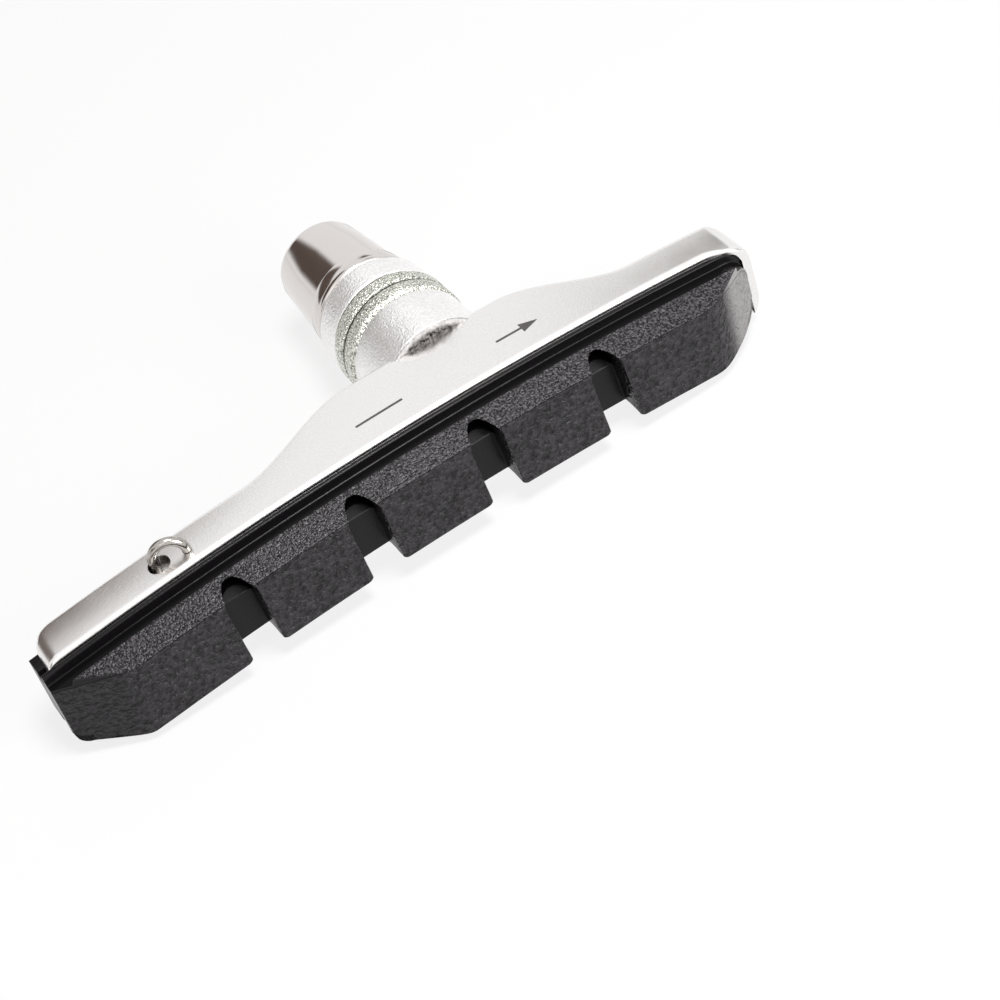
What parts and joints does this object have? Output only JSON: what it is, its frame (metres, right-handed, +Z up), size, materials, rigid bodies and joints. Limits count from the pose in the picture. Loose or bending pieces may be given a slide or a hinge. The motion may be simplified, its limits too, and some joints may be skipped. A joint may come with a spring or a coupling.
{
  "type": "v-brake shoe",
  "caption": "Bicycle rim-brake shoe: a slotted rubber pad held by a pin in a curved aluminium holder, with a threaded stud, cup and dome washers and a socket nut.",
  "frame": {"origin": "on the stud axis, in the plane where the flat faces of the two dome washers meet and the brake arm is clamped", "axes": "+Y along the stud from the pad to the nut, +X along the shoe to its closed front end, +Z up, away from the wheel's hub; the friction face looks along -Y"},
  "size_m": [0.0711, 0.0362, 0.0124],
  "materials": {
    "polished_aluminium": "polished",
    "blasted_aluminium": "bead blasted",
    "zinc_steel": "zinc plated",
    "chromed_steel": "chrome plated",
    "stud_steel": "zinc plated",
    "wire_steel": "drawn",
    "pad_rubber": "moulded, grained"
  },
  "bodies": {
    "shoe": {"shoe_holder": "polished_aluminium", "pad_insert": "pad_rubber", "mounting_stud": "stud_steel"},
    "pin": {"retaining_pin": "wire_steel"},
    "inner_cup": {"inner_cup_washer": "blasted_aluminium"},
    "inner_dome": {"inner_dome_washer": "zinc_steel"},
    "washer": {"flat_washer": "chromed_steel"},
    "nut": {"stud_nut": "chromed_steel"},
    "outer_cup": {"outer_cup_washer": "blasted_aluminium"},
    "outer_dome": {"outer_dome_washer": "zinc_steel"}
  },
  "joints": [
    {"name": "pin_pull", "type": "slide", "parent": "shoe", "child": "pin", "axis": [0, 0, 1], "range_m": [0, 0.012]},
    {"name": "inner_swivel", "type": "hinge", "parent": "shoe", "child": "inner_cup", "pos_m": [0, 0, 0], "axis": [0, 1, 0], "continuous": true},
    {"name": "toe_tilt", "type": "hinge", "parent": "inner_cup", "child": "inner_dome", "pos_m": [0, 0.00521, 0], "axis": [0, 0, 1], "range_deg": [-7, 7]},
    {"name": "washer_travel", "type": "slide", "parent": "shoe", "child": "washer", "axis": [0, 1, 0], "range_m": [0, 0.003]},
    {"name": "nut_turn", "type": "hinge", "parent": "washer", "child": "nut", "pos_m": [0, 0, 0], "axis": [0, 1, 0], "range_deg": [0, 1080]},
    {"name": "outer_swivel", "type": "hinge", "parent": "washer", "child": "outer_cup", "pos_m": [0, 0, 0], "axis": [0, 1, 0], "continuous": true},
    {"name": "outer_tilt", "type": "hinge", "parent": "outer_cup", "child": "outer_dome", "pos_m": [0, -0.00521, 0], "axis": [0, 0, 1], "range_deg": [-7, 7]}
  ],
  "couplings": [
    {"joint": "nut_turn", "follows": "washer_travel", "rad_per_m": 6283.2},
    {"joint": "outer_swivel", "follows": "inner_swivel", "ratio": 1},
    {"joint": "outer_tilt", "follows": "toe_tilt", "ratio": 1}
  ]
}
